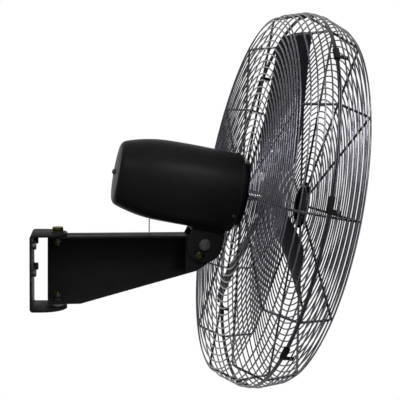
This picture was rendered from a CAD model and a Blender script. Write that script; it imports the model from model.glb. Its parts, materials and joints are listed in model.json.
"""Wall mounted fan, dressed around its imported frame.

The frame gives every rigid part its place. This script sets the studio and the camera, rounds
the sharp edges of the folded parts, the castings and most bolts and nuts, and gives each part
its finish.
"""
import json
import math

import bpy
from mathutils import Matrix, Vector

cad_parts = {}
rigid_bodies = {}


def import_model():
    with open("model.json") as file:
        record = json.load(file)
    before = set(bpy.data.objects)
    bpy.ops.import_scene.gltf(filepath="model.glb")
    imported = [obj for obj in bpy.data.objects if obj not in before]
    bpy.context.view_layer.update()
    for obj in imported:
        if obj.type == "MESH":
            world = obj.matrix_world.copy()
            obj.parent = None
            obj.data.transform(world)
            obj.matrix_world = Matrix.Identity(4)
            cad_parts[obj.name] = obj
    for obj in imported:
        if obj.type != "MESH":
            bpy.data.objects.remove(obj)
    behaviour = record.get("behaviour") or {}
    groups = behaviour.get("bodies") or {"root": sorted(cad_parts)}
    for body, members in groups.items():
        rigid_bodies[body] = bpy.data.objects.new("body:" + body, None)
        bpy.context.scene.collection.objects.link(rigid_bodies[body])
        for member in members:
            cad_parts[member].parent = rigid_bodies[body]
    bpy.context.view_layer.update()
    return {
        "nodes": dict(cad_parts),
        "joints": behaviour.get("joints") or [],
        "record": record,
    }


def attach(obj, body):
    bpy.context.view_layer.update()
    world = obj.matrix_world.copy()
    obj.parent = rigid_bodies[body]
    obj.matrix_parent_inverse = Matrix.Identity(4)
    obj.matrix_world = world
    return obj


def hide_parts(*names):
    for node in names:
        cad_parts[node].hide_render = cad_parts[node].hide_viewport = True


bl_info = {
    "name": "Wall fan studio",
    "version": (1, 0, 0),
    "blender": (4, 5, 0),
    "location": "3D View > Sidebar > Wall fan",
    "description": "Finishes a wall mounted fan around its packed frame",
    "category": "Object",
}

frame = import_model()
NODES = frame["nodes"]
RECORD = frame["record"]
SLOT_OF = {row["node"]: row["material_slot"] for row in RECORD["subparts"]}
BODY_OF = {node: body for body, nodes in RECORD["behaviour"]["bodies"].items() for node in nodes}
JOINTS = {joint["name"]: joint for joint in frame["joints"]}

# the motor's axis: its point at the guard's rim, its forward direction, across and up
RIM_CENTRE = Vector(JOINTS["fan_spin"]["pos_m"])
FORWARD = -Vector(JOINTS["fan_spin"]["axis"]).normalized()
ACROSS = Vector(JOINTS["head_tilt"]["axis"]).normalized()
HEAD_UP = FORWARD.cross(-ACROSS).normalized()

# how far the rotor stands round from one blade upright, in degrees
BLADE_PHASE = -11.3


# ---------------------------------------------------------------- shader maths
class Wire:
    """A value in a finish. Sums and products of wires add Math nodes."""

    def __init__(self, finish, socket):
        self.finish, self.socket = finish, socket

    def _math(self, operation, first, second):
        return self.finish.node("ShaderNodeMath", {"operation": operation}, {0: first, 1: second})

    def __add__(self, other):
        return self._math("ADD", self, other)

    def __radd__(self, other):
        return self._math("ADD", other, self)

    def __sub__(self, other):
        return self._math("SUBTRACT", self, other)

    def __rsub__(self, other):
        return self._math("SUBTRACT", other, self)

    def __mul__(self, other):
        return self._math("MULTIPLY", self, other)

    def __rmul__(self, other):
        return self._math("MULTIPLY", other, self)


class Finish:
    """A material that is written as sums of patterns on the piece's own coordinates."""

    def __init__(self, name):
        self.material = bpy.data.materials.new(name)
        self.material.use_nodes = True
        self.tree = self.material.node_tree
        self.tree.nodes.clear()
        self.output = self.tree.nodes.new("ShaderNodeOutputMaterial")
        self.shader = self.tree.nodes.new("ShaderNodeBsdfPrincipled")
        self.tree.links.new(self.shader.outputs[0], self.output.inputs["Surface"])
        self.place = Wire(self, self.tree.nodes.new("ShaderNodeTexCoord").outputs["Object"])

    def node(self, kind, settings, inputs, output=0):
        """Any node: its settings first, then the values or wires of its sockets."""
        made = self.tree.nodes.new(kind)
        for key, value in settings.items():
            setattr(made, key, value)
        for key, value in inputs.items():
            socket = made.inputs[key]
            if isinstance(value, Wire):
                self.tree.links.new(value.socket, socket)
            else:
                socket.default_value = value
        return Wire(self, made.outputs[output])

    def stretched(self, scale, turn):
        """Coordinates about the rim's centre, turned, then stretched, for grain that runs one way."""
        turned = self.node("ShaderNodeMapping", {"vector_type": "POINT"},
                           {"Vector": self.place, "Rotation": turn.to_euler(),
                            "Location": -(turn @ RIM_CENTRE)})
        return self.node("ShaderNodeMapping", {"vector_type": "POINT"},
                         {"Vector": turned, "Scale": scale})

    def noise(self, scale, detail=2.0, roughness=0.5, place=None):
        return self.node("ShaderNodeTexNoise", {},
                         {"Vector": place or self.place, "Scale": scale, "Detail": detail,
                          "Roughness": roughness})

    def cells(self, scale):
        return self.node("ShaderNodeTexVoronoi", {"feature": "F1"},
                         {"Vector": self.place, "Scale": scale})

    def graded(self, value, low, high, to_low=0.0, to_high=1.0):
        """A value taken from one range to another, clipped."""
        return self.node("ShaderNodeMapRange", {"clamp": True},
                         {"Value": value, "From Min": low, "From Max": high,
                          "To Min": to_low, "To Max": to_high})

    def mixed(self, factor, first, second, kind="MIX"):
        """Two colours, mixed by a factor."""
        return self.node("ShaderNodeMix", {"data_type": "RGBA", "blend_type": kind},
                         {0: factor, 6: self.colour(first), 7: self.colour(second)}, 2)

    @staticmethod
    def colour(value):
        """A wire as it is, a fixed colour with its alpha."""
        return value if isinstance(value, Wire) else (*value[:3], 1.0)

    def facing(self, direction):
        """1 where the surface faces the direction, 0 where it stands square to it."""
        normal = Wire(self, self.tree.nodes.new("ShaderNodeNewGeometry").outputs["Normal"])
        return self.node("ShaderNodeVectorMath", {"operation": "DOT_PRODUCT"},
                         {0: normal, 1: direction}, 1)

    def edges(self, size):
        """1 on sharp edges, found where the normal of a rounding of that size differs."""
        geometry = self.tree.nodes.new("ShaderNodeNewGeometry")
        round_normal = self.node("ShaderNodeBevel", {"samples": 4}, {"Radius": size})
        same = self.node("ShaderNodeVectorMath", {"operation": "DOT_PRODUCT"},
                         {0: round_normal, 1: Wire(self, geometry.outputs["Normal"])}, 1)
        return self.graded(1.0 - same, 0.02, 0.28)

    def bump(self, height, strength, distance):
        return self.node("ShaderNodeBump", {},
                         {"Height": height, "Strength": strength, "Distance": distance})

    def set(self, **sockets):
        """Fixed values or wires for the shader's sockets, by their short names."""
        names = {"base": "Base Color", "rough": "Roughness", "metal": "Metallic",
                 "specular": "Specular IOR Level", "normal": "Normal"}
        for key, value in sockets.items():
            socket = self.shader.inputs[names[key]]
            if isinstance(value, Wire):
                self.tree.links.new(value.socket, socket)
            elif key == "base":
                socket.default_value = (*value[:3], 1.0)
            else:
                socket.default_value = value
        return self


# ---------------------------------------------------------------- settings
class FanColours(bpy.types.PropertyGroup):
    """Colours of the fan's finishes."""

    powder: bpy.props.FloatVectorProperty(
        name="Powder coat", description="Colour of the bracket, arm and yoke",
        subtype="COLOR", size=3, default=(0.0055, 0.0055, 0.0056), min=0, max=1)
    housing: bpy.props.FloatVectorProperty(
        name="Housing", description="Colour of the motor housing's enamel",
        subtype="COLOR", size=3, default=(0.0040, 0.0041, 0.0040), min=0, max=1)
    wire: bpy.props.FloatVectorProperty(
        name="Guard wire", description="Colour of the guard's coating",
        subtype="COLOR", size=3, default=(0.095, 0.095, 0.112), min=0, max=1)
    blade: bpy.props.FloatVectorProperty(
        name="Blade", description="Colour of the blades' enamel",
        subtype="COLOR", size=3, default=(0.0065, 0.0065, 0.0095), min=0, max=1)
    yellow_zinc: bpy.props.FloatVectorProperty(
        name="Yellow zinc", description="Colour of the passivated bolts",
        subtype="COLOR", size=3, default=(0.032, 0.029, 0.004), min=0, max=1)
    clear_zinc: bpy.props.FloatVectorProperty(
        name="Clear zinc", description="Colour of the plain plated fasteners",
        subtype="COLOR", size=3, default=(0.052, 0.052, 0.050), min=0, max=1)


class FanSizes(bpy.types.PropertyGroup):
    """Small sizes that the solids leave to the finish."""

    sheet_edge: bpy.props.FloatProperty(
        name="Sheet edge", description="Rounding of the folded sheet's edges",
        subtype="DISTANCE", unit="LENGTH", default=0.0009, min=0.0, max=0.003)
    fastener_edge: bpy.props.FloatProperty(
        name="Fastener edge", description="Rounding of the bolts' and nuts' edges",
        subtype="DISTANCE", unit="LENGTH", default=0.00035, min=0.0, max=0.002)
    smooth_angle: bpy.props.FloatProperty(
        name="Smooth angle", description="Faces that meet under this angle shade as one",
        subtype="ANGLE", default=math.radians(32), min=0.0, max=math.pi)


class FanStudio(bpy.types.PropertyGroup):
    """Floor, light and camera."""

    floor_height: bpy.props.FloatProperty(
        name="Floor height", description="Height of the floor, with the bracket at about 0",
        subtype="DISTANCE", unit="LENGTH", default=-1.30)
    key_power: bpy.props.FloatProperty(
        name="Key light", description="Power of the large light", subtype="POWER",
        unit="POWER", default=46.0, min=0.0)
    fill_power: bpy.props.FloatProperty(
        name="Fill light", description="Power of the fill light", subtype="POWER",
        unit="POWER", default=16.0, min=0.0)
    strip_power: bpy.props.FloatProperty(
        name="Strip light", description="Power of the strip above the guard", subtype="POWER",
        unit="POWER", default=40.0, min=0.0)
    world_light: bpy.props.FloatProperty(
        name="Room light", description="Strength of the room's light on matt surfaces",
        default=0.45, min=0.0, max=2.0)
    lens: bpy.props.FloatProperty(
        name="Lens", description="Focal length on a 36 mm sensor, in millimetres",
        default=86.526, min=10.0, max=300.0)


def settings():
    scene = bpy.context.scene
    return scene.fan_colours, scene.fan_sizes, scene.fan_studio


# ---------------------------------------------------------------- finishes
# materials that are made already, by the name of their finish
FINISHES = {}


def finish_for(name):
    """The material of a finish, made once."""
    if name not in FINISHES:
        FINISHES[name] = MAKERS[name]().material
    return FINISHES[name]


def powder_coat():
    """Black powder coat: fine orange peel, faint dust on upward faces, worn edges."""
    colours = settings()[0]
    f = Finish("powder_coat")
    peel = f.noise(620.0, 2.0, 0.55)
    broad = f.noise(26.0, 3.0, 0.6)
    dust = f.graded(f.facing((0, 0, 1)), 0.55, 1.0) * f.graded(broad, 0.35, 0.75) * 0.10
    rub = f.edges(0.0012) * f.graded(f.noise(70.0, 4.0, 0.65), 0.48, 0.66) * 0.30
    tint = f.mixed(f.graded(broad, 0.3, 0.7), colours.powder, [v * 1.25 for v in colours.powder])
    tint = f.mixed(dust, tint, (0.010, 0.010, 0.0105))
    tint = f.mixed(rub, tint, (0.030, 0.030, 0.031))
    rough = f.graded(broad, 0.25, 0.75, 0.36, 0.46) + dust * 0.25
    return f.set(base=tint, rough=rough, specular=0.007,
                 normal=f.bump(peel, 0.16, 0.0004))


def housing_enamel():
    """Deep black enamel on the pressed housing, a little smoother than the powder."""
    colours = settings()[0]
    f = Finish("housing_enamel")
    peel = f.noise(430.0, 2.0, 0.5)
    cloud = f.noise(15.0, 3.0, 0.55)
    turned = f.noise(9.0, 3.0, 0.6, f.stretched((1.0, 1.0, 42.0), axis_turn()))
    tint = f.mixed(f.graded(cloud, 0.3, 0.7), colours.housing, [v * 1.25 for v in colours.housing])
    dust = f.graded(f.facing((0, 0, 1)), 0.5, 1.0) * f.graded(cloud, 0.38, 0.72) * 0.12
    tint = f.mixed(dust, tint, (0.009, 0.009, 0.0095))
    rough = f.graded(cloud, 0.25, 0.75, 0.30, 0.38) + dust * 0.2
    height = peel * 0.8 + turned * 0.25
    return f.set(base=tint, rough=rough, specular=0.018,
                 normal=f.bump(height, 0.12, 0.0004))


def cast_enamel():
    """Black enamel over a die casting, slightly grainy."""
    colours = settings()[0]
    f = Finish("cast_enamel")
    grain = f.noise(340.0, 4.0, 0.65)
    tint = f.mixed(f.graded(grain, 0.35, 0.7), colours.housing, [v * 1.9 for v in colours.housing])
    return f.set(base=tint, rough=f.graded(grain, 0.3, 0.7, 0.42, 0.56), specular=0.04,
                 normal=f.bump(grain, 0.22, 0.0005))


def guard_coating(name="guard_coating", depth=1.0):
    """Dark nickel plating on round wire: bright glints, duller runs and specks."""
    colours = settings()[0]
    bright = [v * depth for v in colours.wire]
    f = Finish(name)
    runs = f.noise(60.0, 3.0, 0.6)
    specks = f.graded(f.cells(150.0), 0.05, 0.16, 1.0, 0.0) * f.graded(runs, 0.5, 0.62)
    tint = f.mixed(f.graded(runs, 0.3, 0.7), bright, [v * 0.55 for v in bright])
    tint = f.mixed(specks * 0.4, tint, (0.03, 0.03, 0.032))
    return f.set(base=tint, metal=1.0, rough=f.graded(runs, 0.25, 0.75, 0.16, 0.30),
                 normal=f.bump(f.noise(260.0, 3.0, 0.6), 0.18, 0.0004))


def hub_enamel():
    """Dark enamel on the cast hub, with a sandy skin."""
    f = Finish("hub_enamel")
    grain = f.noise(420.0, 4.0, 0.7)
    rub = f.edges(0.001) * f.graded(f.noise(90.0, 3.0, 0.6), 0.45, 0.62) * 0.4
    tint = f.mixed(f.graded(grain, 0.35, 0.7), (0.016, 0.016, 0.018), (0.034, 0.034, 0.037))
    tint = f.mixed(rub, tint, (0.22, 0.22, 0.22))
    return f.set(base=tint, rough=f.graded(grain, 0.3, 0.7, 0.42, 0.58), specular=0.4,
                 normal=f.bump(grain, 0.28, 0.0006))


def axis_turn(degrees=0.0):
    """Rotation that lays the motor axis on Z and, that many degrees round it, Y upward."""
    across = HEAD_UP.cross(FORWARD)
    upright = Matrix((across, HEAD_UP, FORWARD))
    return Matrix.Rotation(-math.radians(degrees), 3, "Z") @ upright


def blade_sheet(degrees):
    """Blue black enamel on sheet: faint rolling marks under it, dull patches, fine scratches."""
    colours = settings()[0]
    f = Finish("blade_sheet_%d" % round(degrees))
    lie = axis_turn(degrees)
    marks = f.noise(130.0, 3.0, 0.6, f.stretched((1.0, 0.03, 1.0), lie))
    fine = f.noise(700.0, 2.0, 0.5, f.stretched((1.0, 0.02, 1.0), lie))
    patch = f.noise(7.0, 3.0, 0.55)
    cloud = f.noise(38.0, 4.0, 0.6)
    tint = f.mixed(f.graded(patch, 0.3, 0.7), colours.blade, (0.009, 0.009, 0.013))
    tint = f.mixed(f.graded(marks, 0.4, 0.75) * 0.35, tint, (0.014, 0.014, 0.018))
    tint = f.mixed(f.graded(cloud, 0.5, 0.8) * 0.25, tint, (0.016, 0.016, 0.022))
    rough = f.graded(cloud, 0.3, 0.7, 0.42, 0.54) + f.graded(fine, 0.3, 0.7) * 0.06
    return f.set(base=tint, rough=rough, specular=0.012,
                 normal=f.bump(marks * 0.6 + fine * 0.4, 0.07, 0.0003))


def plated(name, colour, second, rough_low, rough_high, wear=0.35):
    """Bare or plated metal: a cloudy skin, tool marks and brighter edges."""
    f = Finish(name)
    cloud = f.noise(180.0, 4.0, 0.6)
    marks = f.noise(900.0, 2.0, 0.5)
    tint = f.mixed(f.graded(cloud, 0.35, 0.68), colour, second)
    tint = f.mixed(f.edges(0.0007) * wear, tint, [min(1.0, v * 1.35) for v in colour])
    return f.set(base=tint, metal=1.0, rough=f.graded(cloud, 0.3, 0.7, rough_low, rough_high),
                 normal=f.bump(marks, 0.10, 0.0002))


def yellow_zinc():
    colours = settings()[0]
    return plated("yellow_zinc", colours.yellow_zinc, (0.030, 0.026, 0.006), 0.30, 0.45)


def lock_zinc():
    return plated("lock_zinc", (0.036, 0.033, 0.003), (0.008, 0.008, 0.003), 0.30, 0.45, 0.9)


def clear_zinc():
    colours = settings()[0]
    return plated("clear_zinc", colours.clear_zinc, (0.036, 0.036, 0.035), 0.34, 0.50, 0.9)


def aged_zinc():
    return plated("aged_zinc", (0.040, 0.040, 0.038), (0.018, 0.018, 0.017), 0.38, 0.55, 0.2)


def rivet_metal():
    return plated("rivet_metal", (0.60, 0.60, 0.61), (0.42, 0.42, 0.43), 0.28, 0.42)


def shaft_steel():
    return plated("shaft_steel", (0.48, 0.48, 0.47), (0.33, 0.33, 0.33), 0.20, 0.34)


def galvanised():
    """Sheet with the crystals of its galvanising."""
    f = Finish("galvanised")
    flakes = f.node("ShaderNodeTexVoronoi", {"feature": "F1"},
                    {"Vector": f.place, "Scale": 160.0}, 1)
    tint = f.mixed(0.35, (0.42, 0.43, 0.44), flakes, "MULTIPLY")
    return f.set(base=tint, metal=1.0, rough=f.graded(f.noise(90.0), 0.3, 0.7, 0.34, 0.52),
                 normal=f.bump(f.cells(160.0), 0.06, 0.0003))


def lamination():
    """Edges of stacked sheet along the motor axis, with a little rust tint."""
    f = Finish("lamination")
    lie = f.stretched((1.0, 1.0, 1.0), axis_turn())
    layers = f.node("ShaderNodeTexWave", {"wave_type": "BANDS", "bands_direction": "Z"},
                    {"Vector": lie, "Scale": 320.0, "Distortion": 0.4, "Detail": 1.0}, 1)
    stain = f.noise(60.0, 4.0, 0.6)
    tint = f.mixed(f.graded(stain, 0.45, 0.75), (0.20, 0.20, 0.21), (0.16, 0.11, 0.08))
    tint = f.mixed(layers * 0.5, tint, (0.32, 0.32, 0.33))
    return f.set(base=tint, metal=0.8, rough=f.graded(stain, 0.3, 0.7, 0.42, 0.6),
                 normal=f.bump(layers, 0.3, 0.0003))


def winding_copper():
    """Varnished copper turns running round the ring."""
    f = Finish("winding_copper")
    lie = f.stretched((1.0, 1.0, 1.0), axis_turn())
    turns = f.node("ShaderNodeTexWave", {"wave_type": "RINGS", "rings_direction": "Z"},
                   {"Vector": lie, "Scale": 150.0, "Distortion": 1.6, "Detail": 2.0}, 1)
    tint = f.mixed(turns, (0.42, 0.17, 0.07), (0.22, 0.08, 0.035))
    return f.set(base=tint, metal=0.7, rough=f.graded(turns, 0.0, 1.0, 0.25, 0.45),
                 normal=f.bump(turns, 0.5, 0.0006))


def bearing_steel():
    return plated("bearing_steel", (0.62, 0.62, 0.62), (0.50, 0.50, 0.50), 0.14, 0.26)


def bead_metal():
    return plated("bead_metal", (0.016, 0.014, 0.008), (0.008, 0.007, 0.004), 0.30, 0.45)


def moulded(name, colour, rough_low, rough_high, grain_scale):
    """Moulded plastic or rubber with a spark-eroded grain."""
    f = Finish(name)
    grain = f.noise(grain_scale, 3.0, 0.6)
    cloud = f.noise(40.0, 3.0, 0.5)
    tint = f.mixed(f.graded(cloud, 0.3, 0.7), colour, [v * 0.8 for v in colour])
    return f.set(base=tint, rough=f.graded(grain, 0.3, 0.7, rough_low, rough_high), specular=0.4,
                 normal=f.bump(grain, 0.2, 0.0003))


# finishes by name: first those of the record's material slots, without the blades' slot, then
# those of single nodes
MAKERS = {
    "black_powder": powder_coat,
    "black_housing": housing_enamel,
    "guard_wire": guard_coating,
    "hub_black": hub_enamel,
    "rivet_aluminium": rivet_metal,
    "zinc_yellow": yellow_zinc,
    "zinc_clear": clear_zinc,
    "steel_shaft": shaft_steel,
    "cast_bell": cast_enamel,
    "steel_sheet": galvanised,
    "lamination": lamination,
    "copper": winding_copper,
    "bearing_steel": bearing_steel,
    "nylon": lambda: moulded("nylon", (0.62, 0.61, 0.56), 0.42, 0.55, 300.0),
    "gland_rubber": lambda: moulded("gland_rubber", (0.012, 0.012, 0.012), 0.55, 0.7, 500.0),
    "capacitor_can": lambda: moulded("capacitor_can", (0.55, 0.55, 0.53), 0.35, 0.5, 350.0),
    "terminal_plastic": lambda: moulded("terminal_plastic", (0.6, 0.59, 0.55), 0.28, 0.4, 250.0),
    "switch_plastic": lambda: moulded("switch_plastic", (0.014, 0.014, 0.015), 0.3, 0.42, 400.0),
    "bead_chain": bead_metal,
    "frame_wire": lambda: guard_coating("frame_coating", 0.40),
    "aged": aged_zinc,
    "lock": lock_zinc,
    "blade_a": lambda: blade_sheet(BLADE_PHASE),
    "blade_b": lambda: blade_sheet(BLADE_PHASE + 120.0),
    "blade_c": lambda: blade_sheet(BLADE_PHASE + 240.0),
}


# ---------------------------------------------------------------- mesh helpers
MERGE_DISTANCE = 2e-6
FLAT_ANGLE = math.radians(0.6)
EDGE_ANGLE = math.radians(35.0)


def alone(piece):
    """Selects one object and makes it the active one."""
    bpy.ops.object.select_all(action="DESELECT")
    piece.select_set(True)
    bpy.context.view_layer.objects.active = piece


def paint(piece, material):
    """Gives every slot of a piece the material."""
    if not piece.material_slots:
        piece.data.materials.append(material)
    for place in piece.material_slots:
        place.material = material


# nodes whose finish differs from their slot's: darkened plating, the yellow lock bolt, the guard's
# heavier wires, and the blades, whose rolling marks run along each one
AGED = ("wall_nuts", "wall_washers", "pivot_nuts", "pivot_washers", "cover_screws", "clip_screws",
        "rear_cap_nut", "guard_bolts", "saddle_bolts")
OTHER_FINISH = {
    **dict.fromkeys(AGED, "aged"),
    "lock_bolt": "lock",
    "rear_guard_frame": "frame_wire",
    "front_guard_frame": "frame_wire",
    "blade_a": "blade_a",
    "blade_b": "blade_b",
    "blade_c": "blade_c",
}


def finish_of(node):
    """The finish of a node: its slot's, unless the node is listed with another one."""
    return finish_for(OTHER_FINISH.get(node, SLOT_OF[node]))


def finish_nodes(names):
    """Paints CAD nodes that stay as they are."""
    for name in names:
        paint(NODES[name], finish_of(name))


def rounded_copy(node, suffix, edge, segments=2, planes=True):
    """A merged and smoothly shaded copy that stands for the node, its edges rounded by edge.

    An edge of 0 leaves them sharp. Triangles of one plane are joined first, but not on wires
    and curved sheet, where planes is off.
    """
    alone(NODES[node])
    bpy.ops.object.duplicate()
    piece = bpy.context.view_layer.objects.active
    for key in [k for k in piece.keys() if k.startswith("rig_")]:
        del piece[key]
    piece.name = piece.data.name = node + "_" + suffix
    bpy.ops.object.parent_clear(type="CLEAR_KEEP_TRANSFORM")
    bpy.ops.object.mode_set(mode="EDIT")
    bpy.ops.mesh.select_all(action="SELECT")
    bpy.ops.mesh.remove_doubles(threshold=MERGE_DISTANCE)
    if planes:
        bpy.ops.mesh.dissolve_limited(angle_limit=FLAT_ANGLE)
    bpy.ops.object.mode_set(mode="OBJECT")
    if edge > 0:
        bevel = piece.modifiers.new("edge", "BEVEL")
        bevel.width, bevel.segments = edge, segments
        bevel.limit_method, bevel.angle_limit = "ANGLE", EDGE_ANGLE
        bevel.harden_normals = False
        bpy.ops.object.modifier_apply(modifier=bevel.name)
    bpy.ops.object.shade_smooth_by_angle(angle=settings()[1].smooth_angle)
    paint(piece, finish_of(node))
    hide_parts(node)
    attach(piece, BODY_OF[node])


# ---------------------------------------------------------------- pieces
class FAN_OT_bracket(bpy.types.Operator):
    """Finish the wall bracket, its nuts and the swing pivots"""

    bl_idname = "fan.bracket"
    bl_label = "Wall bracket"

    def execute(self, context):
        sizes = settings()[1]
        rounded_copy("wall_bracket", "strap", sizes.sheet_edge)
        for node in ("wall_nuts", "pivot_bolt_top", "pivot_nuts", "pivot_bolt_bottom"):
            rounded_copy(node, "plated", sizes.fastener_edge)
        for node in ("wall_washers", "pivot_washers"):
            rounded_copy(node, "plated", sizes.fastener_edge, 1)
        finish_nodes(["thrust_washer", "spacer_bottom"])
        return {"FINISHED"}


class FAN_OT_arm(bpy.types.Operator):
    """Finish the swinging arm and the lock bolt at its tip"""

    bl_idname = "fan.arm"
    bl_label = "Swinging arm"

    def execute(self, context):
        sizes = settings()[1]
        rounded_copy("arm", "channel", sizes.sheet_edge)
        for node in ("lock_bolt", "lock_washers", "lock_nut"):
            rounded_copy(node, "plated", sizes.fastener_edge)
        finish_nodes(["pivot_tube", "lock_tube", "arm_bushes"])
        return {"FINISHED"}


class FAN_OT_yoke(bpy.types.Operator):
    """Finish the yoke, its bolts and the saddle under the motor"""

    bl_idname = "fan.yoke"
    bl_label = "Yoke and saddle"

    def execute(self, context):
        sizes = settings()[1]
        rounded_copy("yoke", "sheet", sizes.sheet_edge)
        rounded_copy("saddle", "pad", sizes.sheet_edge)
        for node in ("tilt_bolt", "tilt_nut", "tilt_washers", "saddle_bolts"):
            rounded_copy(node, "plated", sizes.fastener_edge)
        finish_nodes(["tilt_shims"])
        return {"FINISHED"}


class FAN_OT_motor(bpy.types.Operator):
    """Finish the motor housing, its ends and everything inside it"""

    bl_idname = "fan.motor"
    bl_label = "Motor"

    def execute(self, context):
        sizes = settings()[1]
        rounded_copy("motor_cover", "shell", 0.0, planes=False)
        rounded_copy("front_bell", "casting", sizes.fastener_edge)
        for node in ("rear_cap_nut", "cover_screws", "cord_gland", "chain_nozzle"):
            rounded_copy(node, "turned", 0.0)
        finish_nodes(["rear_bell", "motor_frame", "bell_screws", "bearings", "stator", "windings",
                      "control_plate", "capacitor", "terminal_block", "pull_switch"])
        return {"FINISHED"}


class FAN_OT_chain(bpy.types.Operator):
    """Finish the pull chain and its knob"""

    bl_idname = "fan.chain"
    bl_label = "Pull chain"

    def execute(self, context):
        finish_nodes(["pull_chain", "chain_knob"])
        return {"FINISHED"}


class FAN_OT_rotor(bpy.types.Operator):
    """Finish the shaft, hub, rivets and the three blades"""

    bl_idname = "fan.rotor"
    bl_label = "Rotor"

    def execute(self, context):
        sizes = settings()[1]
        rounded_copy("fan_hub", "casting", sizes.fastener_edge)
        for letter in "abc":
            rounded_copy("blade_" + letter, "sheet", 0.0, planes=False)
        finish_nodes(["shaft", "rotor_core", "hub_screw", "blade_rivets"])
        return {"FINISHED"}


class FAN_OT_guard(bpy.types.Operator):
    """Finish both halves of the wire guard, its clips and the front disc"""

    bl_idname = "fan.guard"
    bl_label = "Wire guard"

    def execute(self, context):
        sizes = settings()[1]
        rounded_copy("guard_clips", "folded", sizes.fastener_edge)
        rounded_copy("front_disc", "pressed", 0.0)
        for half in ("rear", "front"):
            for wires in ("guard_rings", "side_rings", "guard_frame"):
                rounded_copy("%s_%s" % (half, wires), "wire", 0.0, planes=False)
        finish_nodes(["guard_bolts", "clip_screws"])
        return {"FINISHED"}


# ---------------------------------------------------------------- studio
# the camera's place, and its pitch, turn and roll from a square view of the fan's left side
CAMERA_AT = Vector((-2.07536, -0.12847, 0.38441))
VIEW_PITCH, VIEW_TURN, VIEW_ROLL = math.radians(6.3), math.radians(6.5), math.radians(1.0)
SENSOR_WIDTH = 36.0

# each light's place, the point it faces, its width and its height, in metres
KEY_LIGHT = ((-1.7, 0.9, 2.1), (0.05, -0.40, 0.08), 1.6, 1.2)
FILL_LIGHT = ((-1.5, -0.87, 1.14), (-0.07, -0.32, 0.22), 0.55, 1.3)
STRIP_LIGHT = ((-0.95, -1.15, 1.5), (-0.30, -0.52, 0.35), 1.5, 0.35)

FLOOR_RADIUS = 2.6
FLOOR_MIDDLE = (0.1, -0.45)
FLOOR_GLOW = 0.75


def soft_box(name, at, towards, width, height, power):
    """One large rectangular light."""
    lamp = bpy.data.lights.new(name, "AREA")
    lamp.shape, lamp.size, lamp.size_y, lamp.energy = "RECTANGLE", width, height, power
    box = bpy.data.objects.new(name, lamp)
    bpy.context.scene.collection.objects.link(box)
    box.location = at
    box.rotation_euler = (Vector(towards) - Vector(at)).to_track_quat("-Z", "Y").to_euler()


def room_light(strength):
    """A room that lights matt surfaces softly and shows white to the camera and in gloss."""
    world = bpy.data.worlds.new("studio")
    bpy.context.scene.world = world
    world.use_nodes = True
    tree = world.node_tree
    tree.nodes.clear()
    out = tree.nodes.new("ShaderNodeOutputWorld")
    mix = tree.nodes.new("ShaderNodeMixShader")
    for place, power in ((1, strength), (2, 1.0)):
        light = tree.nodes.new("ShaderNodeBackground")
        light.inputs["Color"].default_value = (1, 1, 1, 1)
        light.inputs["Strength"].default_value = power
        tree.links.new(light.outputs[0], mix.inputs[place])
    path = tree.nodes.new("ShaderNodeLightPath")
    gloss, seen = (tree.nodes.new("ShaderNodeMath") for _ in range(2))
    gloss.operation = seen.operation = "MAXIMUM"
    tree.links.new(path.outputs["Is Glossy Ray"], gloss.inputs[0])
    tree.links.new(path.outputs["Is Transmission Ray"], gloss.inputs[1])
    tree.links.new(path.outputs["Is Camera Ray"], seen.inputs[0])
    tree.links.new(gloss.outputs[0], seen.inputs[1])
    tree.links.new(seen.outputs[0], mix.inputs[0])
    tree.links.new(mix.outputs[0], out.inputs["Surface"])


def photo_camera(lens):
    """The camera at the photographed angle."""
    ahead = Vector((math.cos(VIEW_PITCH) * math.cos(VIEW_TURN),
                    -math.cos(VIEW_PITCH) * math.sin(VIEW_TURN), -math.sin(VIEW_PITCH)))
    level = Vector((-math.sin(VIEW_TURN), -math.cos(VIEW_TURN), 0.0))
    down = ahead.cross(level)
    right = level * math.cos(VIEW_ROLL) - down * math.sin(VIEW_ROLL)
    down = level * math.sin(VIEW_ROLL) + down * math.cos(VIEW_ROLL)
    turn = Matrix((right, -down, -ahead)).transposed().to_4x4()
    data = bpy.data.cameras.new("photo_view")
    data.lens, data.sensor_width, data.sensor_fit = lens, SENSOR_WIDTH, "AUTO"
    data.clip_start, data.clip_end = 0.05, 100.0
    camera = bpy.data.objects.new("photo_view", data)
    bpy.context.scene.collection.objects.link(camera)
    camera.matrix_world = Matrix.Translation(CAMERA_AT) @ turn
    bpy.context.scene.camera = camera


class FAN_OT_studio(bpy.types.Operator):
    """Set the floor, the light and the camera at the photographed angle"""

    bl_idname = "fan.studio"
    bl_label = "Studio"

    def execute(self, context):
        studio = settings()[2]
        bpy.ops.object.select_all(action="DESELECT")
        bpy.ops.mesh.primitive_circle_add(vertices=96, radius=FLOOR_RADIUS, fill_type="NGON",
                                          location=(*FLOOR_MIDDLE, studio.floor_height))
        floor = context.view_layer.objects.active
        floor.name = "floor"
        bpy.ops.object.transform_apply(location=True, rotation=True, scale=True)
        paint(floor, floor_finish())

        soft_box("key", *KEY_LIGHT, studio.key_power)
        soft_box("fill", *FILL_LIGHT, studio.fill_power)
        soft_box("strip", *STRIP_LIGHT, studio.strip_power)
        room_light(studio.world_light)
        photo_camera(studio.lens)
        context.scene.view_settings.view_transform = "Standard"
        return {"FINISHED"}


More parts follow.
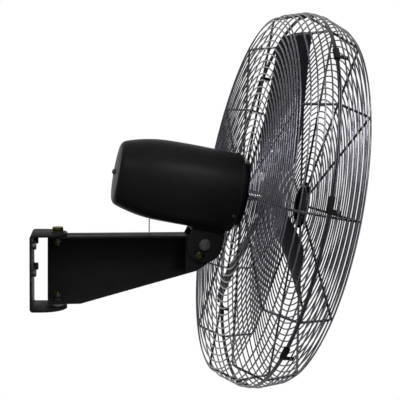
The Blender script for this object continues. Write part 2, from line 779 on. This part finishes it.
def floor_finish():
    """Pale matt floor that keeps a soft shadow and glows towards the camera."""
    f = Finish("floor")
    mottle = f.noise(3.0, 3.0, 0.5)
    f.set(base=f.mixed(f.graded(mottle, 0.3, 0.7), (0.80, 0.80, 0.80), (0.83, 0.83, 0.83)),
          rough=0.8, specular=0.1)
    seen = Wire(f, f.tree.nodes.new("ShaderNodeLightPath").outputs["Is Camera Ray"])
    glow = f.tree.nodes.new("ShaderNodeEmission")
    glow.inputs["Color"].default_value = (1, 1, 1, 1)
    both = f.tree.nodes.new("ShaderNodeMixShader")
    f.tree.links.new((seen * FLOOR_GLOW).socket, both.inputs[0])
    f.tree.links.new(f.shader.outputs[0], both.inputs[1])
    f.tree.links.new(glow.outputs[0], both.inputs[2])
    f.tree.links.new(both.outputs[0], f.output.inputs["Surface"])
    return f.material


class FAN_PT_panel(bpy.types.Panel):
    """The fan's pieces and settings"""

    bl_idname = "FAN_PT_panel"
    bl_label = "Wall fan"
    bl_space_type = "VIEW_3D"
    bl_region_type = "UI"
    bl_category = "Wall fan"

    def draw(self, context):
        layout = self.layout
        for step in STEPS:
            layout.operator(step.bl_idname)
        for group in settings():
            box = layout.box()
            for name in group.bl_rna.properties.keys():
                if name not in ("rna_type", "name"):
                    box.prop(group, name)


STEPS = (FAN_OT_studio, FAN_OT_bracket, FAN_OT_arm, FAN_OT_yoke, FAN_OT_motor, FAN_OT_chain,
         FAN_OT_rotor, FAN_OT_guard)
GROUPS = {"fan_colours": FanColours, "fan_sizes": FanSizes, "fan_studio": FanStudio}


def register():
    for cls in (*GROUPS.values(), *STEPS, FAN_PT_panel):
        bpy.utils.register_class(cls)
    for name, cls in GROUPS.items():
        setattr(bpy.types.Scene, name, bpy.props.PointerProperty(type=cls))


def unregister():
    for name in GROUPS:
        delattr(bpy.types.Scene, name)
    for cls in reversed((*GROUPS.values(), *STEPS, FAN_PT_panel)):
        bpy.utils.unregister_class(cls)


def main():
    register()
    bpy.ops.fan.studio()
    bpy.ops.fan.bracket()
    bpy.ops.fan.arm()
    bpy.ops.fan.yoke()
    bpy.ops.fan.motor()
    bpy.ops.fan.chain()
    bpy.ops.fan.rotor()
    bpy.ops.fan.guard()


if __name__ == "__main__":
    main()
